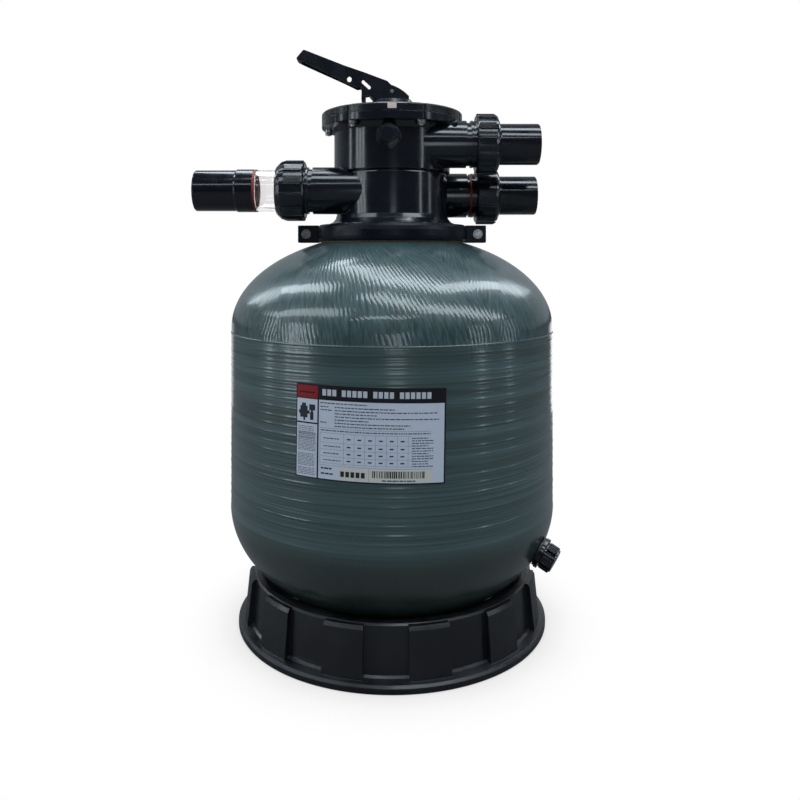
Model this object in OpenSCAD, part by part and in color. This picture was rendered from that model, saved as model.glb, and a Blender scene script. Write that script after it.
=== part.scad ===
// Top-mount sand filter: fibreglass tank on a moulded pedestal, clamped multiport valve with a
// selector handle, three unions, and the internals that make it work.
// Millimetres, +Z up, origin at the centre of the pedestal's underside, outlets along +X and -X.

/* [Tank] */
// Outside radius of the wound tank
tank_r = 200; // [180:1:220]
// Thickness of the fibreglass wall
tank_wall = 5; // [3:0.5:8]
// Height where the lower dome meets the cylinder
low_dome_z = 149; // [140:1:160]
// Depth of the lower dome
low_dome_h = 134; // [125:1:140]
// Height where the upper dome starts
top_dome_z = 363; // [350:1:380]
// Rise of the upper dome
top_dome_h = 115; // [110:1:120]
// Height where the hoop winding stops
hoop_z = 357; // [340:1:362]

/* [Pedestal] */
// Outside radius of the pedestal's foot
foot_r = 190.5; // [180:0.5:200]
// Height of the skirt
skirt_h = 64; // [55:1:70]
// Number of raised panels around the skirt
panels = 12; // [8:1:16]

/* [Valve] */
// Radius of the valve's upper chamber
valve_r = 73; // [70:1:78]
// Radius of the cover's rim
cover_r = 88.6; // [86:0.2:92]
// Number of cover screws
screws = 6; // [4:1:8]
// Radius of the cover's screw circle
screw_r = 81; // [80:0.5:82]
// How far the handle lifts the rotor
lift = 6; // [3:0.5:8]

/* [Ports] */
// Outside radius of the pipe tails
tail_r = 25; // [22:0.5:25]
// Inside radius of the pipes
pipe_bore_r = 21; // [18:0.5:21]
// Outside radius of the valve's ports
port_r = 28.75; // [28:0.25:30]
// Distance of the return port behind the valve's middle plane
return_y = 27; // [24:1:30]
// Distance of the pump port in front of the middle plane
pump_y = 34; // [24:1:36]
// Distance of the waste port in front of the middle plane
waste_y = 31; // [24:1:36]
// Height of the pump port
pump_z = 585.5; // [580:0.5:590]
// Height of the return port
return_z = 527.5; // [525:0.5:532]
// Height of the waste port
waste_z = 529; // [525:1:532]

/* [Inside] */
// Number of slotted laterals
laterals_n = 8; // [6:1:10]
// Height of the laterals
lateral_z = 85; // [75:1:100]
// Height of the sand's surface
sand_z = 300; // [200:5:340]

/* [Hidden] */
$fn = 96;
gap = 0.05;
top_r = tank_r - 0.7;
seat_z = 60;
seat_r = dome_r(low_dome_z - seat_z, tank_r, low_dome_h) + 0.1;
panel_step = 360 / panels;
panel_turn = 5.5;
neck_z = 470;
parting_z = 552.5;
flange_z = 608.4;
cover_z = 618.2;
rim_z = 628;
head_z = 623.1;
screw_turn = -65;
washer_z = 645.5;
pivot_z = 656.5;
thread_end = 119;
pump_thread_end = 112.7;
pump_nut_end = 130;
return_nut_end = 137.5;
shaft_r = 9;
pin_r = 2.5;
cam_r = 13.8;
cam_x = -17.04;
cam_rise = 2.85;
arm_tilt = 20.4;
hole_draft = 13;
drain_turn = -27;
drain_z = 108;
drain_reach = dome_r(low_dome_z - drain_z, tank_r, low_dome_h);
drain_dip = atan((low_dome_z - drain_z) / pow(low_dome_h, 2) * pow(tank_r, 2) / drain_reach);
label_mid = -7;
label_arc = 46;
label_z = 219;
label_h = 97;

// Radius of an elliptical dome at a distance h from its equator.
function dome_r(h, a, b) = a * sqrt(max(0, 1 - pow(h / b, 2)));

// Points of an elliptical arc from angle a0 to a1, centre height z0, half axes a and b.
function arc_pts(a, b, z0, a0, a1, n) =
    [for (i = [0 : n]) let (t = a0 + (a1 - a0) * i / n) [a * cos(t), z0 + b * sin(t)]];

module ring(r_out, r_in, z0, z1) {
    translate([0, 0, z0])
        difference() {
            cylinder(r = r_out, h = z1 - z0);
            translate([0, 0, -1]) cylinder(r = r_in, h = z1 - z0 + 2);
        }
}

module rod(r, z0, z1) {
    translate([0, 0, z0]) cylinder(r = r, h = z1 - z0);
}

module torus(r, thick, z) {
    rotate_extrude() translate([r, z]) circle(r = thick, $fn = 32);
}

module around(n, turn = 0) {
    for (i = [0 : n - 1]) rotate([0, 0, turn + i * 360 / n]) children();
}

// Puts +Z along the pipe: side 1 points to +X, side -1 to -X.
module pipe_at(side, y, z) {
    translate([0, y, z]) rotate([0, 90 * side, 0]) children();
}

module pump_at() { pipe_at(1, -pump_y, pump_z) children(); }
module return_at() { pipe_at(1, return_y, return_z) children(); }
module waste_at() { pipe_at(-1, -waste_y, waste_z) children(); }

// Puts +Z along the drain's axis, outward from the tank's surface.
module drain_at() {
    rotate([0, 0, drain_turn])
        translate([drain_reach, 0, drain_z])
            rotate([0, 90 + drain_dip, 0]) children();
}

// ---------------------------------------------------------------- pedestal

module skirt_panel() {
    rotate_extrude(angle = panel_step / 2 - 0.6)
        polygon([[168, 8], [183, 8], [177.6, skirt_h - 5], [175.2, skirt_h - 1], [168, skirt_h - 1]]);
}

module pedestal_base() {
    color([0.05, 0.05, 0.06]) {
        rotate_extrude()
            polygon([[166, 0], [foot_r - 1, 0], [foot_r, 1.5], [foot_r, 6.5], [foot_r - 2.5, 9],
                     [177.5, 10], [175, 12], [171.5, skirt_h - 2], [169.5, skirt_h],
                     [seat_r + 14, skirt_h + 0.5], [seat_r, seat_z], [seat_r - 0.5, 22],
                     [seat_r + 4.5, 22], [seat_r + 5, seat_z - 5], [166, seat_z - 3],
                     [170, 10], [166, 8]]);
        around(panels, panel_turn - 90 + 0.3) skirt_panel();
        around(panels, panel_turn - 90 + panel_step / 4) pedestal_rib();
    }
}

module pedestal_rib() {
    translate([seat_r + 2, -2, 12]) cube([21.5, 4, seat_z - 13.5]);
}

// ---------------------------------------------------------------- tank

module tank_shell() {
    inner = tank_r - tank_wall;
    low_in = low_dome_h - tank_wall;
    top_in = top_dome_h - tank_wall;
    color([0.25, 0.37, 0.35])
        difference() {
            rotate_extrude()
                polygon(concat(
                    arc_pts(tank_r, low_dome_h, low_dome_z, -90, 0, 26),
                    [[tank_r, hoop_z], [top_r, hoop_z + 0.7]],
                    arc_pts(top_r, top_dome_h, top_dome_z, 0, 65, 22),
                    arc_pts(inner, top_in, top_dome_z, 64, 0, 18),
                    arc_pts(inner, low_in, low_dome_z, 0, -90, 18)));
            rod(84.2, 440, 500);
            drain_at() rod(12.4, -20, 20);
        }
}

module neck_collar() {
    color([0.06, 0.06, 0.07])
        difference() {
            union() {
                rod(84, 452, neck_z + 1);
                rod(91, neck_z, 477);
            }
            rod(78, 440, 480);
            ring(87.6, 81.4, 472.4, 480);
        }
}

module rating_label() {
    color([0.9, 0.9, 0.88])
        rotate([0, 0, -90 + label_mid - label_arc / 2])
            rotate_extrude(angle = label_arc)
                translate([tank_r + 0.15, label_z]) square([0.4, label_h]);
}

// ---------------------------------------------------------------- drain

module drain_gasket() {
    color([0.1, 0.1, 0.1]) drain_at() ring(17, 12.3, 0.1, 2.4);
}

module drain_spigot() {
    color([0.06, 0.06, 0.07])
        drain_at()
            difference() {
                union() {
                    rod(12, -20, 14);
                    rod(18, 2.5, 6);
                }
                rod(8, -25, 20);
            }
}

module drain_back_nut() {
    color([0.06, 0.06, 0.07])
        drain_at()
            difference() {
                translate([0, 0, -13.6]) cylinder(r = 18, h = 6.8, $fn = 6);
                rod(12 + gap, -20, 0);
            }
}

module drain_screen() {
    color([0.3, 0.3, 0.32])
        drain_at()
            difference() {
                rod(10.5, -52, -20.1);
                rod(8.5, -50, -10);
                for (z = [-46 : 5 : -26])
                    around(2, 45) translate([-15, -1, z]) cube([30, 2, 1.5]);
            }
}

module drain_cap_seal() {
    color([0.12, 0.12, 0.12]) drain_at() rod(11.5, 14.1, 16);
}

module drain_cap() {
    color([0.05, 0.05, 0.06])
        drain_at()
            difference() {
                union() {
                    rod(14.8, 7, 19.5);
                    rod(13.4, 19.4, 21);
                    around(2, 35) translate([13, -3, 8.5]) cube([6.6, 6, 11]);
                    around(14) translate([14.3, -0.9, 8]) cube([1.3, 1.8, 11]);
                }
                rod(12.08, 0, 16.1);
            }
}

// ---------------------------------------------------------------- clamp

module clamp_half() {
    difference() {
        union() {
            rotate([0, 0, 180.7])
                rotate_extrude(angle = 178.6)
                    polygon([[85.5, 466.9], [92.3, 466.9], [94.4, 469.5], [95, 473], [95, 480],
                             [94, 484.6], [91, 487.6], [82, 488], [82, 485.4], [91.4, 485.1],
                             [91.4, 469.6], [85.5, 469.4]]);
            around(2) clamp_lug();
        }
        for (x = [-107.5, 107.5])
            translate([x, -20, 476.5]) rotate([-90, 0, 0]) cylinder(r = 3.2, h = 40);
    }
}

module clamp_lug() {
    translate([92.5, -12.5, 466.3]) cube([25.3, 25, 20.4]);
    translate([92.5, -11.9, 465.7]) cube([24.7, 23.8, 21.6]);
}

module clamp_half_front() {
    color([0.05, 0.05, 0.06])
        intersection() {
            clamp_half();
            translate([-150, -120, 450]) cube([300, 119, 60]);
        }
}

module clamp_half_rear() {
    color([0.05, 0.05, 0.06]) rotate([0, 0, 180]) intersection() {
        clamp_half();
        translate([-150, -120, 450]) cube([300, 119, 60]);
    }
}

module clamp_bolt() {
    translate([107.5, 0, 476.5]) rotate([90, 0, 0]) {
        rod(3, -20, 13);
        rod(5.9, 12.6, 13.5);
        translate([0, 0, 13.4]) cylinder(r = 5.2, h = 3.4, $fn = 6);
        rod(4.3, 16.7, 17.3);
    }
}

module clamp_bolts() {
    color([0.8, 0.8, 0.82]) {
        clamp_bolt();
        translate([-215, 0, 0]) clamp_bolt();
    }
}

module clamp_nuts() {
    color([0.8, 0.8, 0.82])
        for (x = [-107.5, 107.5])
            translate([x, 12.6, 476.5]) rotate([-90, 0, 0])
                difference() {
                    cylinder(r = 5.5, h = 5, $fn = 6);
                    rod(3 + gap, -1, 8);
                }
}

module tank_o_ring() {
    color([0.1, 0.1, 0.1]) torus(84.5, 2.4, 474.9);
}

// ---------------------------------------------------------------- valve bodies

// Port pipe with a collar groove and a plain stand-in for the thread, which ends at x = end.
module port_pipe(start, end) {
    rod(port_r, start, end - 22.5);
    rod(port_r - 2.4, end - 23, end - 16.8);
    rod(port_r, end - 17, end - 14.5);
    rod(port_r - 0.6, end - 15, end);
}

module lower_shell() {
    rotate_extrude()
        polygon([[0, 478], [80, 478], [80, 477.4], [91, 477.4], [91, 485], [79.6, 485],
                 [79.6, 489], [75, 491], [71.5, 495], [69.8, 500], [69.5, parting_z - 3],
                 [68.8, parting_z - 0.4], [0, parting_z - 0.4]]);
}

module lower_valve_body() {
    color([0.05, 0.05, 0.06])
        difference() {
            union() {
                lower_shell();
                return_at() port_pipe(30, thread_end);
                waste_at() port_pipe(30, thread_end);
                rod(31, 462, 480);
            }
            rod(valve_r + 0.3, parting_z - 0.4, 570);
            difference() {
                rod(63.5, 484, 546);
                rod(31, 480, 548);
                around(3, 90) translate([0, -2.5, 480]) cube([70, 5, 70]);
            }
            return_at() rod(pipe_bore_r, 40, 130);
            waste_at() rod(pipe_bore_r, 40, 130);
            deck_windows(540, 560);
            around(6, 30) translate([54, 0, 470]) cylinder(r = 8, h = 20);
            rod(25.2, 455, 540);
            rod(12, 500, 560);
        }
}

// The six windows the rotor opens and closes, cut between two heights.
module deck_windows(z0, z1) {
    around(6, 8)
        rotate_extrude(angle = 44)
            translate([33, z0]) square([15, z1 - z0]);
}

module body_seam_gasket() {
    color([0.02, 0.02, 0.02]) ring(67.4, 64.2, parting_z - 0.35, parting_z + 0.35);
}

module upper_valve_body() {
    color([0.05, 0.05, 0.06])
        difference() {
            union() {
                rod(68.8, parting_z + 0.4, 556);
                rod(valve_r, parting_z + 3, flange_z + 1);
                rotate_extrude()
                    polygon([[68.8, parting_z + 0.4], [valve_r - 0.6, parting_z + 0.4],
                             [valve_r, parting_z + 1.2], [valve_r, parting_z + 4], [68.8, 558]]);
                rotate_extrude()
                    polygon([[70, 602], [valve_r, 602], [76, flange_z], [cover_r - 1, flange_z],
                             [cover_r, flange_z + 1], [cover_r, 617.7], [cover_r - 0.4, 618.1],
                             [70, 618.1]]);
                pump_at() port_pipe(30, pump_thread_end);
                gauge_at() rod(14.5, 62, 77);
            }
            rod(66.5, 560, 630);
            rod(64, 550, 570);
            ring(75.3, 71.7, 615, 620);
            rim_notches();
            pump_at() rod(pipe_bore_r, 40, 130);
            gauge_at() rod(7, 60, 90);
            around(screws, screw_turn) translate([screw_r, 0, 0]) {
                rod(2.8, flange_z - 6.4, 630);
                rod(5.8, flange_z - 6.4, flange_z);
            }
        }
}

module gauge_at() {
    rotate([0, 0, -93]) translate([0, 0, 590.5]) rotate([0, 90, 0]) children();
}

module gauge_plug() {
    color([0.05, 0.05, 0.06])
        gauge_at() {
            rod(6.95, 67, 79);
            rod(13.6, 77.1, 79.5);
            translate([0, 0, 79]) cylinder(r = 12.6, h = 9, $fn = 6);
            rod(8.6, 87, 90);
        }
}

// ---------------------------------------------------------------- cover

module valve_cover() {
    color([0.05, 0.05, 0.06])
        difference() {
            union() {
                rotate_extrude()
                    polygon([[0, cover_z], [cover_r - 0.4, cover_z], [cover_r, cover_z + 0.4],
                             [cover_r, rim_z - 2.1], [cover_r - 1.2, rim_z - 0.7],
                             [cover_r - 3, rim_z], [74, rim_z], [30, 638], [27, 639.2],
                             [25.4, washer_z - 1.4], [0, washer_z - 1.4]]);
                around(12, 10) translate([30, -1.5, 626]) cube([36, 3, 5]);
                rotate([0, 0, -90]) translate([86, -5.2, 619.6]) cube([cover_r - 85.6, 10.4, 7]);
            }
            rod(shaft_r + gap, 600, 660);
            rotate_extrude()
                polygon([[14, 600], [62, 600], [62, 622], [28, 630], [24, 634], [14, 634]]);
            around(screws, screw_turn) translate([screw_r, 0, 0]) {
                rod(2.8, 610, 640);
                rod(5.9, head_z, 640);
            }
            rim_notches();
        }
}

// Shallow flutes down the edge of the cover and of the flange below it, none across the front.
module rim_notches() {
    for (k = [0 : 20])
        rotate([0, 0, screw_turn + 15 * k])
            translate([cover_r + 3, 0, 600]) cylinder(r = 4, h = 40);
}

module cover_o_ring() {
    color([0.1, 0.1, 0.1]) torus(73.5, 1.55, 616.6);
}

module cover_screw() {
    translate([screw_r, 0, 0]) {
        rod(2.5, flange_z - 6.1, head_z + 2);
        rod(5.4, head_z + gap, head_z + 1);
        translate([0, 0, head_z + 0.9]) cylinder(r = 4.6, h = 3.5, $fn = 6);
    }
}

module cover_screws() {
    color([0.8, 0.8, 0.82]) around(screws, screw_turn) cover_screw();
}

module cover_nuts() {
    color([0.8, 0.8, 0.82])
        around(screws, screw_turn)
            translate([screw_r, 0, 0])
                difference() {
                    union() {
                        rod(5.4, flange_z - 1.1, flange_z - 0.1);
                        translate([0, 0, flange_z - 5.2]) cylinder(r = 4.6, h = 4.2, $fn = 6);
                    }
                    rod(2.5 + gap, 600, 615);
                }
}

// ---------------------------------------------------------------- diverter

module spider_gasket() {
    color([0.12, 0.12, 0.12])
        difference() {
            rod(53.5, parting_z - 0.3, 555.4);
            rod(15, 540, 560);
            deck_windows(550, 560);
        }
}

module diverter_rotor() {
    color([0.75, 0.75, 0.72])
        difference() {
            union() {
                rod(52, 555.5, 563);
                ring(52, 48, 560, 582);
                rod(16, 560, 584);
                around(4, 45) translate([12, -2, 560]) cube([38, 4, 20]);
                rod(shaft_r, 580, 641);
                intersection() {
                    translate([-7, -4.5, 640]) cube([14, 9, 26]);
                    union() {
                        translate([0, 20, pivot_z]) rotate([90, 0, 0]) cylinder(r = 7, h = 40);
                        translate([-7, -6, 640]) cube([14, 12, pivot_z - 640]);
                    }
                }
            }
            rotate([0, 0, 68]) rotate_extrude(angle = 44) translate([33, 550]) square([15, 20]);
            for (z = [624.7, 630.2]) ring(shaft_r + 2, shaft_r - 2.2, z, z + 2.6);
            translate([0, 20, pivot_z]) rotate([90, 0, 0]) cylinder(r = pin_r + gap, h = 40);
        }
}

// One side of the round wire at step i of the spring's helix.
function wire_pts(i, steps, turns, r, wire, z0, z1) = let (a = 360 * turns * i / steps)
    [for (k = [0 : 7]) let (b = 45 * k)
        [(r + wire * cos(b)) * cos(a), (r + wire * cos(b)) * sin(a),
         z0 + (z1 - z0) * i / steps + wire * sin(b)]];

module helix(turns, r, wire, z0, z1) {
    steps = turns * 18;
    pts = [for (i = [0 : steps]) each wire_pts(i, steps, turns, r, wire, z0, z1)];
    polyhedron(
        points = pts,
        faces = concat(
            [[for (k = [0 : 7]) k]],
            [for (i = [0 : steps - 1], k = [0 : 7])
                [i * 8 + k, (i + 1) * 8 + k, (i + 1) * 8 + (k + 1) % 8, i * 8 + (k + 1) % 8]],
            [[for (k = [7 : -1 : 0]) steps * 8 + k]]));
}

module rotor_spring() {
    color([0.7, 0.7, 0.72]) helix(6, 12.5, 1.4, 587.6, 616.7);
}

module spring_washers() {
    color([0.8, 0.8, 0.82]) ring(15.5, shaft_r + gap, 584.1, 586.1);
}

module shaft_o_rings() {
    color([0.1, 0.1, 0.1])
        for (z = [626, 631.5]) torus(shaft_r - 1.06, 1.05, z);
}

module handle_washer() {
    color([0.72, 0.72, 0.74]) ring(24.6, shaft_r + gap, washer_z - 1.3, washer_z);
}

module handle_pin() {
    color([0.8, 0.8, 0.82]) {
        translate([0, 9.9, pivot_z]) rotate([90, 0, 0]) cylinder(r = pin_r, h = 19.8);
    }
}

// Side view of the handle, x along the row's X and y up, with the pivot at the origin.
module hub_profile() {
    intersection() {
        translate([cam_x, cam_rise]) circle(r = cam_r);
        translate([-40, -20]) square([40, 24]);
    }
    intersection() {
        translate([-17, -42.5]) circle(r = 52.5);
        polygon([[-38.5, -11.6], [-33.5, -11.6], [-33.2, -4.5], [-29, -3.8], [-17, -3.8],
                 [-17, -10.4], [21.4, -10.4], [21.4, 20], [-38, 20]]);
    }
    rotate(-arm_tilt) polygon([[-36, -8.6], [-36, 9.6], [-10, 9.6], [-2, 6], [-18, -6]]);
}

module arm_profile() {
    rotate(-arm_tilt)
        polygon([[-127, -3.2], [-126.6, -4], [-125.6, -4.3], [-43.4, -11], [-41.6, -10.2],
                 [-39.8, -9], [-20, -9], [-20, 9.6], [-120, 9.6], [-121.6, 9.2], [-122.4, 8.4]]);
}

module arm_hollow() {
    rotate(-arm_tilt)
        polygon([[-122.6, -12], [-118.6, 6.2], [-39, 6.2], [-39, -20]]);
}

// Width of the arm in plan: narrow at the hub, wider at the grip.
module arm_plan() {
    polygon([[-17, -10.5], [-36, -10.5], [-60, -7.5], [-112, -12], [-119, -10.6], [-121.5, -7],
             [-121.5, 7], [-119, 10.6], [-112, 12], [-60, 7.5], [-36, 10.5], [-17, 10.5]]);
}

module arm_plan_hollow() {
    polygon([[-27, -7.6], [-60, -4.9], [-110, -9.2], [-117, -7],
             [-117, 7], [-110, 9.2], [-60, 4.9], [-27, 7.6]]);
}

module side_extrude(w) {
    translate([0, w, 0]) rotate([90, 0, 0]) linear_extrude(height = 2 * w) children();
}

// Round hole and slot through the arm, drafted upward to the rear.
module arm_holes() {
    translate([0, -8.5, 0]) rotate([90 + hole_draft, 0, 0]) translate([0, 0, -40]) {
        rotate(-arm_tilt) translate([-55.6, -5.6]) cylinder(r = 3.3, h = 60);
        rotate(-arm_tilt) translate([-38, -2.5]) {
            cylinder(r = 2.3, h = 60);
            rotate(-21.5) {
                translate([0, -2.2, 0]) cube([10, 4.4, 60]);
                translate([10, 0, 0]) cylinder(r = 2.3, h = 60);
            }
        }
    }
}

module selector_handle() {
    color([0.05, 0.05, 0.06])
        translate([0, 0, pivot_z])
            difference() {
                union() {
                    side_extrude(10.5) hub_profile();
                    intersection() {
                        side_extrude(13) arm_profile();
                        translate([0, 0, -20]) linear_extrude(height = 90) arm_plan();
                    }
                }
                intersection() {
                    side_extrude(12) arm_hollow();
                    translate([0, 0, -20]) linear_extrude(height = 90) arm_plan_hollow();
                }
                translate([0, 4.8, 0]) rotate([90, 0, 0]) cylinder(r = 7.3, h = 9.6);
                translate([-11.8, -4.8, -20]) cube([19.3, 9.6, 20.6]);
                translate([0, 30, 0]) rotate([90, 0, 0]) cylinder(r = pin_r + gap, h = 60);
                arm_holes();
            }
}

// ---------------------------------------------------------------- unions

// Ribbed union nut from x0 to x1 on the pipe's axis. Its lip starts at x = lip, and its far end is
// rounded over a length soft.
module union_nut(x0, lip, x1, soft) {
    difference() {
        union() {
            rotate_extrude()
                polygon([[20, x0 + 0.6], [34, x0], [35.4, x0 + 1.4], [35.4, x1 - soft],
                         [34.2, x1 - 0.6 * soft], [32, x1 - 0.25 * soft], [29, x1], [20, x1]]);
            intersection() {
                around(12) translate([33, -4.6, x0 + 1.2]) nut_pad(x1 - x0 - 4);
                rotate_extrude()
                    polygon([[20, x0], [36, x0], [37.5, x0 + 2.5], [37.5, x1 - soft - 2],
                             [35.5, x1 - 0.6 * soft], [32.5, x1 - 0.3 * soft],
                             [20, x1 - 0.3 * soft]]);
            }
        }
        rod(port_r - 0.52, x0 - 5, lip);
        rod(tail_r + 0.7, x0, x1 + 5);
    }
}

module nut_pad(len) {
    translate([0, 1.6, 0]) cube([4.2, 6, len]);
    translate([0, 0, 1.5]) cube([3.7, 9.2, len - 3]);
}

// Pipe tail with its flange at f0, a slight shoulder just outside the nut, and its end at x1.
module pipe_tail(f0, shoulder, x1) {
    difference() {
        union() {
            rod(28, f0, f0 + 4.6);
            rod(tail_r + 0.6, f0, shoulder);
            rotate_extrude()
                polygon([[10, shoulder - 0.1], [tail_r + 0.6, shoulder - 0.1], [tail_r, shoulder + 1],
                         [10, shoulder + 1]]);
            rod(tail_r, f0, x1 - 1.2);
            rod(tail_r - 0.8, x1 - 2, x1);
        }
        rod(pipe_bore_r, f0 - 1, x1 + 1);
        ring(27, 22.6, f0 - 1, f0 + 1.9);
    }
}

module pump_union_nut() {
    color([0.05, 0.05, 0.06]) pump_at() union_nut(101.8, pump_thread_end + 5, pump_nut_end, 5);
}

module return_union_nut() {
    color([0.05, 0.05, 0.06]) return_at() union_nut(108, thread_end + 5, return_nut_end, 5);
}

module waste_union_nut() {
    color([0.05, 0.05, 0.06]) waste_at() rotate([0, 0, 15]) union_nut(106, thread_end + 5, 141, 11);
}

module pump_tail() {
    color([0.05, 0.05, 0.06])
        pump_at() pipe_tail(pump_thread_end + 0.2, pump_nut_end + 0.6, 179);
}

module return_tail() {
    color([0.05, 0.05, 0.06])
        return_at() pipe_tail(thread_end + 0.2, return_nut_end + 0.6, 186);
}

module waste_tail() {
    color([0.05, 0.05, 0.06])
        waste_at()
            difference() {
                union() {
                    rod(26.2, 168.2, 189);
                    rotate_extrude() polygon([[10, 188.5], [26.2, 188.5], [tail_r, 190.5], [10, 190.5]]);
                    rod(tail_r, 190, 239.3);
                    rod(tail_r - 0.8, 238.5, 240.5);
                }
                rod(pipe_bore_r, 160, 250);
            }
}

module union_o_rings() {
    color([0.1, 0.1, 0.1]) {
        pump_at() face_ring(pump_thread_end + 0.2);
        return_at() face_ring(thread_end + 0.2);
        waste_at() face_ring(thread_end + 0.2);
    }
}

module face_ring(x) {
    torus(24.8, 0.92, x + 0.94);
}

module return_collar_ring() {
    color([0.65, 0.1, 0.08]) return_at() ring(port_r - 0.9, port_r - 2.38, 99.4, 101.9);
}

module sight_glass() {
    color([0.85, 0.92, 0.92, 0.35])
        waste_at()
            difference() {
                union() {
                    rod(28, 119.2, 123.8);
                    rod(tail_r, 119.2, 165);
                }
                rod(pipe_bore_r, 110, 170);
                ring(27, 22.6, 118, 121.1);
            }
}

module sight_glass_gasket() {
    color([0.65, 0.1, 0.08]) waste_at() ring(26, 22.4, 165.1, 168.1);
}

// ---------------------------------------------------------------- inside the tank

module diffuser() {
    color([0.7, 0.7, 0.7])
        difference() {
            union() {
                ring(68, 64.5, 446, 477.2);
                ring(68, 31.6, 442, 446.2);
            }
            around(16) for (z = [450 : 7 : 464]) translate([60, -4, z]) cube([12, 8, 3]);
            rod(30, 440, 450);
        }
}

module standpipe() {
    color([0.8, 0.8, 0.8]) ring(25, 22, 101, 480);
}

module standpipe_seal() {
    color([0.1, 0.1, 0.1]) ring(30, 25.1, 457.5, 461.8);
}

module lateral_hub() {
    color([0.75, 0.75, 0.75])
        difference() {
            union() {
                rod(34, 68, 104);
                rod(29, 104, 118);
                around(laterals_n)
                    translate([0, 0, lateral_z]) rotate([0, 90, 0]) rod(12, 25, 44);
            }
            rod(25.1, 100.8, 125);
            rod(22, 74, 110);
            around(laterals_n)
                translate([0, 0, lateral_z]) rotate([0, 90, 0]) {
                    rod(9.1, 33, 50);
                    rod(7, 15, 50);
                }
        }
}

module lateral() {
    translate([0, 0, lateral_z]) rotate([0, 90, 0])
        difference() {
            rod(9, 33.2, 138);
            rod(6.5, 30, 135);
            for (x = [50 : 8 : 130]) translate([-20, -20, x]) cube([16, 40, 1.2]);
        }
}

module laterals() {
    color([0.8, 0.8, 0.8]) around(laterals_n) lateral();
}

module sand_bed() {
    inner = tank_r - tank_wall - 1;
    color([0.76, 0.66, 0.45])
        difference() {
            rotate_extrude()
                intersection() {
                    polygon(concat(
                        arc_pts(inner, low_dome_h - tank_wall - 1, low_dome_z, -90, 0, 18),
                        [[inner, sand_z], [0, sand_z]]));
                    translate([0, 10]) square([220, sand_z]);
                }
            rod(35, 60, sand_z + 5);
            ring(145, 30, lateral_z - 13, lateral_z + 13);
            drain_at() rod(22, -54, 5);
        }
}

pedestal_base();
tank_shell();
neck_collar();
rating_label();
drain_gasket();
drain_spigot();
drain_back_nut();
drain_screen();
drain_cap_seal();
drain_cap();
clamp_half_front();
clamp_half_rear();
clamp_bolts();
clamp_nuts();
tank_o_ring();
lower_valve_body();
upper_valve_body();
body_seam_gasket();
gauge_plug();
valve_cover();
cover_o_ring();
cover_screws();
cover_nuts();
spider_gasket();
diverter_rotor();
rotor_spring();
spring_washers();
shaft_o_rings();
handle_washer();
selector_handle();
handle_pin();
pump_union_nut();
return_union_nut();
waste_union_nut();
pump_tail();
return_tail();
waste_tail();
union_o_rings();
return_collar_ring();
sight_glass();
sight_glass_gasket();
diffuser();
standpipe();
standpipe_seal();
lateral_hub();
laterals();
sand_bed();
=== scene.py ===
"""Looks for the sand filter: wound tank, label, moulded plastic, metal, rubber and clear tube."""

import math

import bpy
import numpy as np
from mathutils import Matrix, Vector


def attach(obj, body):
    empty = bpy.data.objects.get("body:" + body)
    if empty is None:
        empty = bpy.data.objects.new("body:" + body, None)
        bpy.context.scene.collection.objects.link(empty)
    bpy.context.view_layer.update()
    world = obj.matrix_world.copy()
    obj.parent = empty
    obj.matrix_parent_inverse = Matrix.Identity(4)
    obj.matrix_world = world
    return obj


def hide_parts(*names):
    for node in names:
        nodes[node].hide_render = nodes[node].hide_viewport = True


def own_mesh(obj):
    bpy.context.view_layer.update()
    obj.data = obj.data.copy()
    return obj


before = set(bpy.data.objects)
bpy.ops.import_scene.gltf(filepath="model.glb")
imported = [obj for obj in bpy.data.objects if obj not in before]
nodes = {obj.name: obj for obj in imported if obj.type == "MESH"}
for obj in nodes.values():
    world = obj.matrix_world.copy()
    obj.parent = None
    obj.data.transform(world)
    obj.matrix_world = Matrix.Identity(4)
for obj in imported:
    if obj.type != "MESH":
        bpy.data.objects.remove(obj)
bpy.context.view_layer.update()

MM = 0.001
TAU = 2 * math.pi

# The tank: its radii, the heights where the hoop windings start and end, and the two domes.
TANK_R = 200 * MM
DOME_R = 199.3 * MM
NECK_R = 84.2 * MM
POLE_R = 84 * MM     # the helical tapes turn back here
WALL = 5 * MM
HOOP_LOW = 146 * MM
HOOP_HIGH = 357 * MM
LOW_Z, LOW_H = 149 * MM, 134 * MM
TOP_Z, TOP_H = 363 * MM, 115 * MM


# ---------------------------------------------------------------- node material helpers

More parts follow.
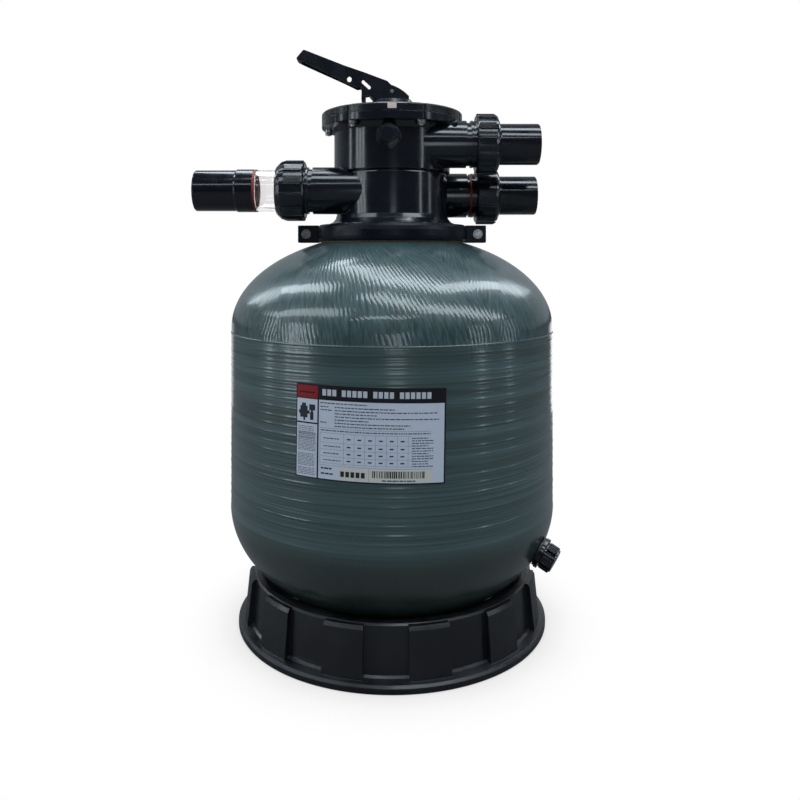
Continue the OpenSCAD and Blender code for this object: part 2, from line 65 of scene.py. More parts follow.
class Mat:
    """A node material, new or given, with short calls for adding nodes."""

    def __init__(self, name, mat=None):
        self.mat = mat or bpy.data.materials.new(name)
        self.mat.use_nodes = True
        self.tree = self.mat.node_tree
        self.bsdf = self.tree.nodes["Principled BSDF"]

    def add(self, kind, inputs=None, **props):
        node = self.tree.nodes.new("ShaderNode" + kind)
        for key, value in props.items():
            setattr(node, key, value)
        for key, value in (inputs or {}).items():
            self.put(node.inputs[key], value)
        return node

    def put(self, socket, value):
        if isinstance(value, bpy.types.NodeSocket):
            self.tree.links.new(value, socket)
        else:
            socket.default_value = value

    def set(self, **inputs):
        for key, value in inputs.items():
            self.put(self.bsdf.inputs[key.replace("_", " ")], value)

    def math(self, op, a, b=0.0, c=0.0):
        return self.add("Math", {0: a, 1: b, 2: c}, operation=op).outputs[0]

    def remap(self, value, lo, hi, to_lo=0.0, to_hi=1.0, smooth=False):
        node = self.add("MapRange", {0: value, 1: lo, 2: hi, 3: to_lo, 4: to_hi})
        if smooth:
            node.interpolation_type = "SMOOTHSTEP"
        return node.outputs[0]

    def mix(self, factor, a, b):
        node = self.add("Mix", data_type="RGBA")
        self.put(node.inputs[0], factor)
        self.put(node.inputs[6], a)
        self.put(node.inputs[7], b)
        return node.outputs[2]

    def blend(self, factor, a, b):
        """Like mix(), for plain numbers."""
        return self.add("Mix", {0: factor, 2: a, 3: b}).outputs[0]

    def noise(self, vector, scale, detail=3.0, rough=0.5):
        return self.add("TexNoise", {"Vector": vector, "Scale": scale, "Detail": detail,
                                     "Roughness": rough}).outputs[0]

    def coords(self):
        return self.add("TexCoord").outputs["Object"]

    def bump(self, height, strength, distance, normal=None):
        node = self.add("Bump", {"Height": height, "Strength": strength,
                                 "Distance": distance})
        if normal is not None:
            self.put(node.inputs["Normal"], normal)
        return node.outputs[0]


def moulded_plastic(name, colour, rough=0.2, grain=0.25, grain_scale=900.0, edge=0.0007,
                    dust=0.03, ripple=0.5, ior=1.5, coat=0.25):
    """Injection-moulded plastic: soft edges, faint sink ripples, worn edges, dust on top."""
    m = Mat(name)
    at = m.coords()
    soft = m.add("Bevel", {"Radius": edge}, samples=6).outputs[0]
    hard = m.add("NewGeometry").outputs["Normal"]
    facing = m.add("VectorMath", {0: soft, 1: hard}, operation="DOT_PRODUCT").outputs["Value"]
    worn = m.remap(facing, 0.985, 0.80)
    blotch = m.noise(at, 38.0, 4.0, 0.6)
    fine = m.noise(at, grain_scale, 2.0)
    sink = m.noise(at, 26.0, 1.0)
    scratch = m.noise(m.add("Mapping", {"Vector": at, "Scale": (60, 900, 700)}).outputs[0],
                      1.0, 2.0)
    up = m.add("SeparateXYZ", {0: hard}).outputs[2]
    settled = m.math("MULTIPLY", m.remap(up, 0.35, 0.95), m.remap(blotch, 0.38, 0.75))
    worn_here = m.math("MULTIPLY", worn, m.remap(blotch, 0.35, 0.65, 0.1, 0.55))
    lifted = [min(1.0, c * 3.0 + 0.02) for c in colour[:3]] + [1.0]
    base = m.mix(m.math("MULTIPLY", blotch, 0.35), colour, [c * 1.7 for c in colour[:3]] + [1.0])
    base = m.mix(worn_here, base, lifted)
    base = m.mix(m.math("MULTIPLY", settled, dust), base, [0.16, 0.16, 0.17, 1.0])
    spread = m.remap(blotch, 0.3, 0.7, rough * 0.8, rough * 1.35)
    spread = m.math("ADD", spread, m.math("MULTIPLY", m.remap(scratch, 0.62, 0.75), 0.12))
    spread = m.math("ADD", spread, m.math("MULTIPLY", settled, 0.12))
    normal = m.bump(sink, 0.25 * ripple, 0.002, soft)
    normal = m.bump(fine, grain, 0.00012, normal)
    m.set(Base_Color=base, Roughness=spread, Normal=normal, IOR=ior)
    m.set(Coat_Weight=coat, Coat_Roughness=rough * 0.5)
    return m.mat


# The raised index mark on the front of the cover's rim, where a highlight is painted in pale cream:
# half its width, its face and its height.
MARK_HIGHLIGHT_HALF_W = 5.2 * MM
MARK_HIGHLIGHT_FACE_Y = -88.1 * MM
MARK_HIGHLIGHT_LOW_Z, MARK_HIGHLIGHT_HIGH_Z = 619.7 * MM, 626.5 * MM


def paint_index_mark_highlight(mat):
    """Paints a pale cream highlight on the raised index mark, in the cover's own material."""
    m = Mat(mat.name, mat)
    x, y, z = m.add("SeparateXYZ", {0: m.coords()}).outputs
    here = m.math("LESS_THAN", m.math("ABSOLUTE", x), MARK_HIGHLIGHT_HALF_W)
    here = m.math("MULTIPLY", here, m.math("LESS_THAN", y, MARK_HIGHLIGHT_FACE_Y))
    here = m.math("MULTIPLY", here, m.math("GREATER_THAN", z, MARK_HIGHLIGHT_LOW_Z))
    here = m.math("MULTIPLY", here, m.math("LESS_THAN", z, MARK_HIGHLIGHT_HIGH_Z))
    under = m.bsdf.inputs["Base Color"].links[0].from_socket
    # Painted highlight: the face of the index mark is coloured pale cream.
    m.set(Base_Color=m.mix(here, under, [0.80, 0.66, 0.60, 1]))
    return mat


def rubber(name, colour):
    m = Mat(name)
    at = m.coords()
    grain = m.noise(at, 1400.0, 3.0, 0.7)
    bloom = m.noise(at, 90.0, 3.0)
    dry = [c * 1.5 + 0.01 for c in colour[:3]] + [1]
    base = m.mix(m.remap(bloom, 0.4, 0.7, 0.0, 0.5), colour, dry)
    m.set(Base_Color=base, Roughness=m.remap(bloom, 0.3, 0.7, 0.35, 0.6),
          Normal=m.bump(grain, 0.3, 0.0001))
    return m.mat


def bright_steel(name, shade=1.0):
    m = Mat(name)
    at = m.coords()
    brushed = m.noise(m.add("Mapping", {"Vector": at, "Scale": (2500, 300, 2500)}).outputs[0],
                      1.0, 2.0)
    stain = m.noise(at, 160.0, 3.0)
    soft = m.add("Bevel", {"Radius": 0.0004}, samples=4).outputs[0]
    base = m.mix(m.remap(stain, 0.45, 0.7), [0.72 * shade, 0.72 * shade, 0.74 * shade, 1],
                 [0.50 * shade, 0.49 * shade, 0.48 * shade, 1])
    m.set(Base_Color=base, Metallic=1.0, Roughness=m.remap(brushed, 0.3, 0.7, 0.14, 0.32),
          Normal=m.bump(brushed, 0.15, 0.0001, soft))
    return m.mat


def clear_tube(name):
    m = Mat(name)
    at = m.coords()
    haze = m.noise(at, 120.0, 3.0)
    wipe = m.noise(m.add("Mapping", {"Vector": at, "Scale": (40, 900, 900)}).outputs[0], 1.0)
    m.set(Base_Color=[0.90, 0.89, 0.89, 1], Transmission_Weight=1.0, IOR=1.49,
          Roughness=m.remap(haze, 0.4, 0.8, 0.02, 0.10), Normal=m.bump(wipe, 0.06, 0.0002))
    return m.mat


def light_plastic(name, colour):
    m = Mat(name)
    at = m.coords()
    blotch = m.noise(at, 50.0, 3.0)
    base = m.mix(m.remap(blotch, 0.3, 0.7, 0.0, 0.4), colour, [c * 0.8 for c in colour[:3]] + [1])
    m.set(Base_Color=base, Roughness=m.remap(blotch, 0.3, 0.7, 0.3, 0.45),
          Normal=m.bump(m.noise(at, 900.0, 2.0), 0.2, 0.0001))
    return m.mat


def sand_grains(name):
    m = Mat(name)
    at = m.coords()
    cells = m.add("TexVoronoi", {"Vector": at, "Scale": 1100.0})
    tone = m.add("SeparateColor", {0: cells.outputs["Color"]}).outputs[0]
    base = m.mix(tone, [0.42, 0.33, 0.2, 1], [0.75, 0.66, 0.48, 1])
    m.set(Base_Color=base, Roughness=0.85, Normal=m.bump(cells.outputs[0], 0.8, 0.0006))
    return m.mat


def wound_resin(name):
    """Glass strands under clear resin: hoops on the cylinder, crossing helices on the upper dome.

    The lower dome is darker and plain.
    """
    m = Mat(name)
    at = m.coords()
    x, y, z = m.add("SeparateXYZ", {0: at}).outputs
    turn = m.math("ARCTAN2", y, x)
    radius = m.math("SQRT", m.math("ADD", m.math("MULTIPLY", x, x), m.math("MULTIPLY", y, y)))
    on_dome = m.remap(z, HOOP_HIGH - 0.2 * MM, HOOP_HIGH + 0.8 * MM)
    low = m.remap(z, LOW_Z + 1 * MM, LOW_Z - 21 * MM, smooth=True)
    # Angle a helical tape turns through between the seam and this point.
    wrap = m.math("ARCCOSINE", m.math("MINIMUM", m.math("DIVIDE", POLE_R, radius), 1.0))
    wrap = m.math("SUBTRACT", m.math("MULTIPLY", wrap, 0.6), m.math("SUBTRACT", z, TOP_Z))

    def leaning(sign, extra=0.0):
        return m.math("ADD", turn, m.math("MULTIPLY_ADD", wrap, sign, extra))

    def strands(bent, across, along, offset):
        ring = m.add("CombineXYZ", {0: m.math("COSINE", bent), 1: m.math("SINE", bent),
                                    2: m.math("MULTIPLY_ADD", z, along, offset)}).outputs[0]
        return m.noise(ring, across, 2.0, 0.55)

    def tapes(bent, count):
        """Rounded section of neighbouring tapes, each lapping a little over the next."""
        part = m.math("SUBTRACT", m.math("FRACT", m.math("MULTIPLY", bent, count / TAU)), 0.5)
        hump = m.math("MULTIPLY", m.math("MULTIPLY", part, part), -4.0)
        return m.math("ADD", hump, m.math("MULTIPLY", part, 0.5))

    right, left = leaning(1.0), leaning(-1.0)
    blur = m.noise(m.add("Mapping", {"Vector": at, "Scale": (30, 30, 30)}).outputs[0], 1.0, 1.0)
    shaken = m.math("MULTIPLY", m.math("SUBTRACT", blur, 0.5), 0.05)
    cells = m.math("ADD", m.math("FLOOR", m.math("MULTIPLY", leaning(1.0, 0.25), 4 / TAU)),
                   m.math("FLOOR", m.math("MULTIPLY", leaning(-1.0, 0.4), 5 / TAU)))
    over = m.math("GREATER_THAN", m.math("FRACT", m.math("MULTIPLY", cells, 0.5)), 0.25)
    one = strands(right, 70.0, 0.9, 0.0)
    two = strands(left, 64.0, 0.9, 3.1)
    fine = strands(turn, 150.0, 0.5, 7.7)
    shingle = m.blend(over, tapes(m.math("ADD", right, shaken), 226),
                      tapes(m.math("ADD", left, shaken), -217))
    weave_at = m.blend(over, one, two)
    cross = m.math("MULTIPLY_ADD", shingle, 0.12,
                   m.math("MULTIPLY_ADD", fine, 0.03, m.math("MULTIPLY", weave_at, 0.06)))

    hoop_at = m.add("CombineXYZ", {0: m.math("MULTIPLY", x, 4.0), 1: m.math("MULTIPLY", y, 4.0),
                                   2: m.math("MULTIPLY", z, 430.0)}).outputs[0]
    hoops = m.noise(hoop_at, 1.0, 2.0, 0.5)
    wide_at = m.add("CombineXYZ", {0: m.math("MULTIPLY", x, 2.5), 1: m.math("MULTIPLY", y, 2.5),
                                   2: m.math("MULTIPLY", z, 120.0)}).outputs[0]
    wide = m.noise(wide_at, 1.0, 2.0)
    patch = m.noise(m.add("Mapping", {"Vector": at, "Scale": (9, 9, 5)}).outputs[0], 1.0, 2.0)

    dark = [0.016, 0.030, 0.029, 1]
    mid = [0.033, 0.060, 0.058, 1]
    pale = [0.064, 0.114, 0.126, 1]
    banded = m.math("ADD", hoops, m.math("MULTIPLY", wide, 0.5))
    glass = m.mix(m.remap(banded, 0.55, 1.05), mid, pale)
    glass = m.mix(m.remap(wide, 0.35, 0.6, 0.45, 0.0), glass, dark)
    glass = m.mix(m.remap(patch, 0.45, 0.7, 0.0, 0.3), glass, [0.028, 0.050, 0.036, 1])
    weave = m.mix(m.remap(weave_at, 0.40, 0.66), [0.022, 0.046, 0.046, 1], [0.054, 0.100, 0.108, 1])
    weave = m.mix(m.remap(fine, 0.50, 0.70, 0.0, 0.45), weave, [0.090, 0.145, 0.165, 1])
    weave = m.mix(m.remap(one, 0.60, 0.70, 0.0, 0.4), weave, [0.07, 0.10, 0.05, 1])
    base = m.mix(on_dome, glass, weave)
    under = m.mix(m.remap(patch, 0.35, 0.7), [0.019, 0.031, 0.026, 1], [0.025, 0.040, 0.034, 1])
    base = m.mix(low, base, under)

    seam = m.remap(z, HOOP_HIGH - 7 * MM, HOOP_HIGH + 5 * MM)
    height = m.blend(seam, m.math("MULTIPLY", hoops, 0.26), cross)
    height = m.blend(low, height, m.math("MULTIPLY", m.noise(at, 90.0, 1.0), 0.06))
    rough = m.blend(on_dome, 0.30, 0.32)
    rough = m.math("ADD", rough, m.remap(patch, 0.35, 0.7, -0.03, 0.05))
    m.set(Base_Color=base, Roughness=rough, Normal=m.bump(height, 0.9, 0.0011), IOR=1.52)
    m.set(Coat_Weight=0.9, Coat_Roughness=m.blend(on_dome, 0.15, 0.085),
          Coat_Normal=m.bump(height, 0.8, 0.0011))
    return m.mat


def print_ink(name, colour, rough=0.45, fade=0.15):
    """Printed film: slight fading and a fine surface under a satin laminate."""
    m = Mat(name)
    at = m.coords()
    worn = m.noise(at, 70.0, 4.0, 0.6)
    dots = m.noise(at, 3000.0, 1.0)
    base = m.mix(m.remap(worn, 0.4, 0.75, 0.0, fade), colour, [c * 0.8 for c in colour[:3]] + [1])
    base = m.mix(m.remap(dots, 0.55, 0.8, 0.0, 0.1), base, [c * 0.6 for c in colour[:3]] + [1])
    m.set(Base_Color=base, Roughness=m.remap(worn, 0.3, 0.7, rough * 0.8, rough * 1.3),
          Normal=m.bump(worn, 0.1, 0.0004), Specular_IOR_Level=0.3)
    return m.mat


# ---------------------------------------------------------------- mesh helpers

def new_object(name, verts, faces, mats, face_mats=None, smooth=True):
    mesh = bpy.data.meshes.new(name)
    mesh.from_pydata([tuple(v) for v in verts], [], faces)
    mesh.update()
    for mat in mats:
        mesh.materials.append(mat)
    if face_mats is not None:
        mesh.polygons.foreach_set("material_index", face_mats)
    mesh.polygons.foreach_set("use_smooth", [smooth] * len(mesh.polygons))
    obj = bpy.data.objects.new(name, mesh)
    bpy.context.scene.collection.objects.link(obj)
    return obj


def revolved(name, radii, heights, steps, mats, relief):
    """Turns a closed outline round Z; relief(angle, z, radius) is added to the radius."""
    radii, heights = np.asarray(radii), np.asarray(heights)
    angles = np.arange(steps) * TAU / steps
    r = np.repeat(radii[:, None], steps, 1)
    z = np.repeat(heights[:, None], steps, 1)
    a = np.repeat(angles[None, :], len(radii), 0)
    r = r + relief(a, z, r)
    verts = np.stack([r * np.cos(a), r * np.sin(a), z], -1).reshape(-1, 3)
    rows = len(radii)
    faces = []
    for i in range(rows):
        j = (i + 1) % rows
        for k in range(steps):
            n = (k + 1) % steps
            faces.append((i * steps + k, i * steps + n, j * steps + n, j * steps + k))
    return new_object(name, verts, faces, mats)


# ---------------------------------------------------------------- materials

black = moulded_plastic("black_moulded", [0.0040, 0.0052, 0.0095, 1], rough=0.17, grain=0.12)
lever_black = moulded_plastic("lever_moulded", [0.0045, 0.0055, 0.0105, 1], rough=0.30,
                              grain=0.1, ior=1.35, coat=0.1)
clamp_black = moulded_plastic("clamp_moulded", [0.0028, 0.0040, 0.0085, 1], rough=0.30,
                              grain=0.1, ripple=0.2, ior=1.30, coat=0.0)
cover_black = paint_index_mark_highlight(moulded_plastic("cover_moulded", [0.0048, 0.0060, 0.0105, 1],
                                         rough=0.22, grain=0.1))
valve_black = moulded_plastic("valve_moulded", [0.0045, 0.0058, 0.0100, 1], rough=0.15,
                              grain=0.1, ripple=0.35)
pipe_black = moulded_plastic("pipe_extruded", [0.0035, 0.0042, 0.0085, 1], rough=0.14, grain=0.08,
                             ripple=0.3)
pedestal_black = moulded_plastic("pedestal_moulded", [0.0030, 0.0030, 0.0052, 1], rough=0.36,
                                 grain=0.3, grain_scale=600.0, edge=0.0012, dust=0.08)
seal_black = rubber("black_rubber_seal", [0.012, 0.012, 0.013, 1])
seal_red = rubber("red_rubber_seal", [0.26, 0.018, 0.014, 1])
steel = bright_steel("bright_steel")
dull_steel = bright_steel("dull_steel", 0.45)
clear = clear_tube("clear_tube")
natural = light_plastic("natural_plastic", [0.62, 0.62, 0.58, 1])
slip_washer = moulded_plastic("slip_washer", [0.004, 0.005, 0.009, 1], rough=0.4,
                              ior=1.2, coat=0.0)
sand = sand_grains("filter_sand_grains")
resin = wound_resin("wound_resin")

LOOKS = {
    pedestal_black: ["pedestal_base"],
    black: ["neck_collar", "drain_spigot", "drain_back_nut", "drain_cap", "gauge_plug",
            "body_seam_gasket", "pump_union_nut", "return_union_nut", "waste_union_nut"],
    cover_black: ["valve_cover"],
    lever_black: ["selector_handle"],
    clamp_black: ["clamp_half_front", "clamp_half_rear"],
    valve_black: ["lower_valve_body", "upper_valve_body"],
    pipe_black: ["pump_tail", "return_tail", "waste_tail"],
    seal_black: ["drain_gasket", "drain_cap_seal", "tank_o_ring", "cover_o_ring",
                 "spider_gasket", "shaft_o_rings", "union_o_rings", "standpipe_seal"],
    seal_red: ["return_collar_ring", "sight_glass_gasket"],
    dull_steel: ["clamp_bolts", "clamp_nuts"],
    steel: ["cover_screws", "cover_nuts", "spring_washers",
            "handle_pin", "rotor_spring"],
    clear: ["sight_glass"],
    natural: ["diverter_rotor", "drain_screen", "diffuser", "standpipe", "lateral_hub",
              "laterals"],
    slip_washer: ["handle_washer"],
    sand: ["sand_bed"],
    resin: ["tank_shell"],
}
for look, names in LOOKS.items():
    for name in names:
        for slot in nodes[name].material_slots:
            slot.material = look


# ---------------------------------------------------------------- wound tank

def tank_outline():
    """Radius and height from the lower pole up the outside to the neck, and down the inside."""
    outer = [(TANK_R * math.sin(t), LOW_Z - LOW_H * math.cos(t))
             for t in np.linspace(0.004, math.pi / 2, 90)]
    outer += [(TANK_R, z) for z in np.arange(LOW_Z + 0.7 * MM, HOOP_HIGH, 0.75 * MM)]
    outer += [(TANK_R - 0.45 * MM, HOOP_HIGH), (DOME_R + 0.1 * MM, HOOP_HIGH + 1.2 * MM),
              (DOME_R, HOOP_HIGH + 2.2 * MM), (DOME_R, TOP_Z - 2.5 * MM)]
    top = math.acos(NECK_R / DOME_R)
    outer += [(DOME_R * math.cos(t), TOP_Z + TOP_H * math.sin(t))
              for t in np.linspace(0, top, 130)]
    inner = [((DOME_R - WALL) * math.cos(t), TOP_Z + (TOP_H - WALL) * math.sin(t))
             for t in np.linspace(math.acos(NECK_R / (DOME_R - WALL)), 0, 20)]
    inner += [((TANK_R - WALL) * math.sin(t), LOW_Z - (LOW_H - WALL) * math.cos(t))
              for t in np.linspace(math.pi / 2, 0.004, 20)]
    return np.array(outer), np.array(inner)


def winding_relief(angle, z, radius):
    """Thickness of the windings: one helical ridge on the cylinder, crossing tapes on the dome."""
    rng = np.random.default_rng(4)
    pitch, turns = 9.6 * MM, 200
    on = (z > HOOP_LOW) & (z < HOOP_HIGH - 0.5 * MM) & (radius > TANK_R - 2 * MM)
    phase = z / pitch - angle / TAU
    turn_no = np.floor(phase).astype(int)
    part = phase - turn_no
    strong = 0.35 + 0.65 * rng.random(turns)
    second = 0.25 + 0.5 * rng.random(turns)
    ridge = np.exp(-((part - 0.5) / 0.085) ** 2) * strong[turn_no % turns]
    minor = np.exp(-((part - 0.12) / 0.06) ** 2) * 0.45 * second[(turn_no + 57) % turns]
    sway = 0.75 + 0.25 * np.sin(3 * angle + 9 * turn_no)
    hoops = -0.50 * MM + 0.46 * MM * np.clip((ridge + minor) * sway, 0, 1)
    ease = np.clip((z - HOOP_LOW) / (6 * MM), 0, 1)
    out = np.where(on, hoops * ease, 0)
    dome = (z > HOOP_HIGH + 0.5 * MM) & (radius > NECK_R)
    wrap = 0.8 * np.arccos(POLE_R / np.maximum(radius, POLE_R)) - (z - TOP_Z)
    for sign, tapes, lift in ((1, 9, 0.22), (-1, 8, 0.18)):
        band = (angle + sign * wrap) * tapes / TAU
        saw = band - np.floor(band)
        step = np.clip(saw / 0.08, 0, 1) * (1 - 0.75 * saw)
        out = out + np.where(dome, (lift * step - 0.42 * lift) * MM, 0)
    return out - np.where(dome, 0.12 * MM, 0)


outer, inner = tank_outline()
outline = np.vstack([outer, inner])


def shell_relief(angle, z, radius):
    """The windings' relief on the outside, and none from the neck's edge inwards."""
    out = winding_relief(angle, z, radius)
    out[len(outer) - 1:] = 0
    return out


tank = revolved("tank_wound_shell", outline[:, 0], outline[:, 1], 420, [resin], shell_relief)
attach(tank, "filter")
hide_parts("tank_shell")


# ---------------------------------------------------------------- printed label

# The label's size in millimetres, the angle and height of its middle, its tilt and its radius.
LABEL_W, LABEL_H = 160.0, 97.0
LABEL_MID = math.radians(-97.05)
LABEL_Z = 267.5 * MM
LABEL_TILT = math.radians(-0.9)
LABEL_R = TANK_R + 0.22 * MM

inks = {
    "border": print_ink("label_border", [0.006, 0.006, 0.009, 1]),
    "paper": print_ink("label_paper", [0.56, 0.60, 0.70, 1], fade=0.3),
    "red": print_ink("label_red", [0.26, 0.008, 0.013, 1]),
    "ink": print_ink("label_ink", [0.02, 0.022, 0.03, 1]),
    "fine": print_ink("label_fine_ink", [0.16, 0.175, 0.21, 1]),
    "rule": print_ink("label_rule", [0.25, 0.27, 0.32, 1]),
    "cream": print_ink("label_cream", [0.62, 0.60, 0.54, 1]),
    "stripe": print_ink("label_header_bars", [0.52, 0.54, 0.60, 1]),
}
INK_ORDER = list(inks)


class LabelSheet:
    """Collects curved patches on the tank; u runs right and v runs up, in millimetres."""

    def __init__(self):
        self.verts, self.faces, self.mats = [], [], []

    def point(self, u, v, lift):
        u0, v0 = u - LABEL_W / 2, v - LABEL_H / 2
        cu, cv = math.cos(LABEL_TILT), math.sin(LABEL_TILT)
        ur, vr = u0 * cu - v0 * cv, u0 * cv + v0 * cu
        a = LABEL_MID + ur * MM / LABEL_R
        r = LABEL_R + lift * MM
        return (r * math.cos(a), r * math.sin(a), LABEL_Z + vr * MM)

    def patch(self, u, v, w, h, layer, ink):
        """A thin raised tile with closed sides."""
        cols = max(1, int(w / 4) + 1)
        top, low = 0.02 + 0.035 * layer, -0.05
        start = len(self.verts)
        for lift in (top, low):
            for i in range(cols + 1):
                for vv in (v, v + h):
                    self.verts.append(self.point(u + w * i / cols, vv, lift))
        n = 2 * (cols + 1)
        made = []
        for i in range(cols):
            a = start + 2 * i
            made.append((a, a + 2, a + 3, a + 1))
            b = a + n
            made.append((b, b + 1, b + 3, b + 2))
            made.append((a, b, b + 2, a + 2))
            made.append((a + 1, a + 3, b + 3, b + 1))
        e = start + 2 * cols
        made.append((start, start + 1, start + 1 + n, start + n))
        made.append((e, e + n, e + 1 + n, e + 1))
        self.faces += made
        self.mats += [INK_ORDER.index(ink)] * len(made)

    def line_of_marks(self, u, v, w, h, layer, ink, rng):
        """A row of short dashes, so a block of them reads as small print without letters."""
        at = u
        while at < u + w:
            dash = rng.uniform(1.4, 5.2)
            dash = min(dash, u + w - at)
            self.patch(at, v, dash, h, layer, ink)
            at += dash + rng.uniform(0.5, 0.9)


def print_label():
    rng = np.random.default_rng(11)
    s = LabelSheet()
    s.patch(0, 0, LABEL_W, LABEL_H, 0, "border")
    s.patch(1.2, 82.6, 24.6, 13.0, 1, "red")
    s.patch(3.6, 87.6, 19.0, 1.6, 2, "border")
    s.patch(1.2, 57.6, 24.4, 24.0, 1, "paper")
    s.patch(1.2, 1.2, 24.4, 54.8, 1, "paper")
    s.patch(27.4, 1.2, LABEL_W - 29.0, 80.6, 1, "paper")
    at = 31.0
    for group in (3, 5, 4, 6):
        for _ in range(group):
            s.patch(at, 86.4, 4.2, 6.6, 1, "stripe")
            at += 5.6
        at += 4.6
    # Pictogram cell: a plain valve-and-pipe sketch.
    for u, v, w, h in ((5, 62, 9, 12), (7, 74, 5, 3), (3.5, 66, 13, 3.5), (17, 60, 4, 8),
                       (16, 70, 7, 6), (18, 67, 2.5, 4), (9, 59, 2.2, 4)):
        s.patch(u, v, w, h, 2, "ink")
    # Left column of small print.
    for v in np.arange(52.5, 41, -1.9):
        s.line_of_marks(3, v, 19 if v > 46 else 21, 0.8, 2, "fine", rng)
    for v in np.arange(46.0, 27, -1.5):
        s.line_of_marks(3, v, 21, 0.75, 2, "fine", rng)
    for v in np.arange(24.5, 12, -1.5):
        s.line_of_marks(3, v, 20, 0.75, 2, "fine", rng)
    for v in np.arange(9.8, 2, -1.6):
        s.line_of_marks(3, v, 20.5, 0.75, 2, "fine", rng)
    # Instruction rows.
    s.line_of_marks(29, 78.4, 50, 1.0, 2, "ink", rng)
    rows = ((74.6, 45, 62), (71.4, 45, 106), (68.2, 45, 44), (65.0, 45, 108), (61.8, 45, 36),
            (58.6, 45, 78), (55.4, 45, 72))
    for v, u, w in rows:
        s.line_of_marks(u, v, w, 1.0, 2, "ink", rng)
    for v, w in ((74.6, 9), (71.4, 13), (58.6, 7)):
        s.line_of_marks(29, v, w, 1.0, 2, "ink", rng)
    s.patch(28.5, 53.2, 116, 0.4, 2, "rule")
    s.line_of_marks(30, 50.6, 114, 1.0, 2, "ink", rng)
    # Table.
    for v in (17.6, 24.4, 31.6, 38.6, 48.4):
        s.patch(29, v, 96, 0.35, 2, "rule")
    for u in (29, 55, 66, 77, 88, 99, 110, 121):
        s.patch(u, 17.6, 0.4, 31.0, 2, "rule")
    for r, v in enumerate((20.4, 27.4, 34.6, 42.6)):
        s.line_of_marks(33, v, 19 - 2 * (r % 2), 1.0, 2, "ink", rng)
        for u in (58.5, 69.5, 80.5, 91.5, 102.5, 113.5):
            s.patch(u, v, 4.0, 1.4, 2, "ink")
    for v in np.arange(46.2, 17, -2.6):
        s.line_of_marks(125, v, 22 if int(v) % 2 else 17, 0.9, 2, "ink", rng)
    # Bottom row.
    s.patch(28.5, 15.2, 118, 0.4, 2, "rule")
    s.patch(50, 2.0, 96, 12.6, 2, "cream")
    s.line_of_marks(30.5, 11.4, 12, 1.6, 2, "ink", rng)
    s.line_of_marks(30.5, 6.0, 14, 1.6, 2, "ink", rng)
    for k in range(5):
        s.patch(52 + 5.4 * k, 5.0, 4.0, 5.6, 3, "ink")
    s.patch(81.4, 1.6, 0.4, 13.4, 3, "rule")
    at = 85.0
    while at < 137:
        w = rng.choice([0.5, 0.9, 1.4])
        s.patch(at, 6.0, w, 7.0, 3, "ink")
        at += w + rng.choice([0.5, 0.8, 1.2])
    s.line_of_marks(95, 2.8, 34, 1.2, 3, "ink", rng)
    obj = new_object("rating_label_film", s.verts, s.faces, [inks[k] for k in INK_ORDER],
                     s.mats, smooth=False)
    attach(obj, "filter")
    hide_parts("rating_label")


print_label()


# ---------------------------------------------------------------- small visible details

def raw_fibre_edge():
    """The cut, unpainted end of the windings round the neck, under the clamp."""
    m = Mat("raw_fibre_edge")
    at = m.coords()
    strands = m.noise(m.add("Mapping", {"Vector": at, "Scale": (500, 500, 60)}).outputs[0], 1.0)
    m.set(Base_Color=m.mix(strands, [0.10, 0.07, 0.03, 1], [0.32, 0.24, 0.12, 1]),
          Roughness=0.5, Normal=m.bump(strands, 0.6, 0.0004))
    radii = np.array([84.6, 88.2, 90.6, 91.2, 89.6, 84.6]) * MM
    heights = np.array([468.6, 468.4, 467.3, 466.4, 465.2, 466.4]) * MM
    steps = 240
    wobble = np.random.default_rng(7).random(steps) * 0.5 * MM

    def uneven(angle, z, radius):
        index = (angle / TAU * steps).astype(int) % steps
        return np.where(radius > 86 * MM, -wobble[index], 0)

    ring = revolved("neck_fibre_edge", radii[::-1], heights[::-1], steps, [m.mat], uneven)
    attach(ring, "filter")


raw_fibre_edge()


# The rotor's spring: radii of coil and wire, lower end and rise.
COIL_R, COIL_WIRE = 12.5 * MM, 1.4 * MM
COIL_LOW, COIL_RISE = 587.6 * MM, 29.1 * MM


def rotor_coil():
    """The rotor's spring as a round wire."""
    turns, steps, sides = 6, 216, 10
    verts, faces = [], []
    for i in range(steps + 1):
        a = TAU * turns * i / steps
        for k in range(sides):
            b = TAU * k / sides
            r = COIL_R + COIL_WIRE * math.cos(b)
            verts.append((r * math.cos(a), r * math.sin(a),
                          COIL_LOW + COIL_RISE * i / steps + COIL_WIRE * math.sin(b)))
    for i in range(steps):
        for k in range(sides):
            n = (k + 1) % sides
            faces.append((i * sides + k, (i + 1) * sides + k, (i + 1) * sides + n, i * sides + n))
    faces.append(tuple(range(sides)))
    faces.append(tuple(steps * sides + k for k in range(sides - 1, -1, -1)))
    coil = new_object("rotor_spring_coil", verts, faces, [steel])
    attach(coil, "selector")
    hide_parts("rotor_spring")
    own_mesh(coil)


rotor_coil()


# ---------------------------------------------------------------- studio

def floor_material():
    """White sweep to the camera with a soft contact shade, and a dim floor to everything else."""
    m = Mat("pale_floor")
    at = m.coords()
    m.set(Base_Color=m.mix(m.noise(at, 6.0, 3.0), [0.10, 0.10, 0.105, 1], [0.13, 0.13, 0.135, 1]),
          Roughness=0.8, Normal=m.bump(m.noise(at, 400.0), 0.05, 0.0005))
    open_sky = m.add("AmbientOcclusion", {"Distance": 0.09}, samples=12).outputs["AO"]
    glow = m.add("Emission", {0: m.mix(m.remap(open_sky, 0.1, 0.95), [0.52, 0.52, 0.54, 1],
                                       [1, 1, 1, 1]), 1: 1.0}).outputs[0]
    path = m.add("LightPath")
    seen = m.math("MAXIMUM", path.outputs["Is Camera Ray"], path.outputs["Is Transmission Ray"])
    pick = m.add("MixShader", {0: seen, 1: m.bsdf.outputs[0], 2: glow}).outputs[0]
    m.put(m.tree.nodes["Material Output"].inputs[0], pick)
    return m.mat


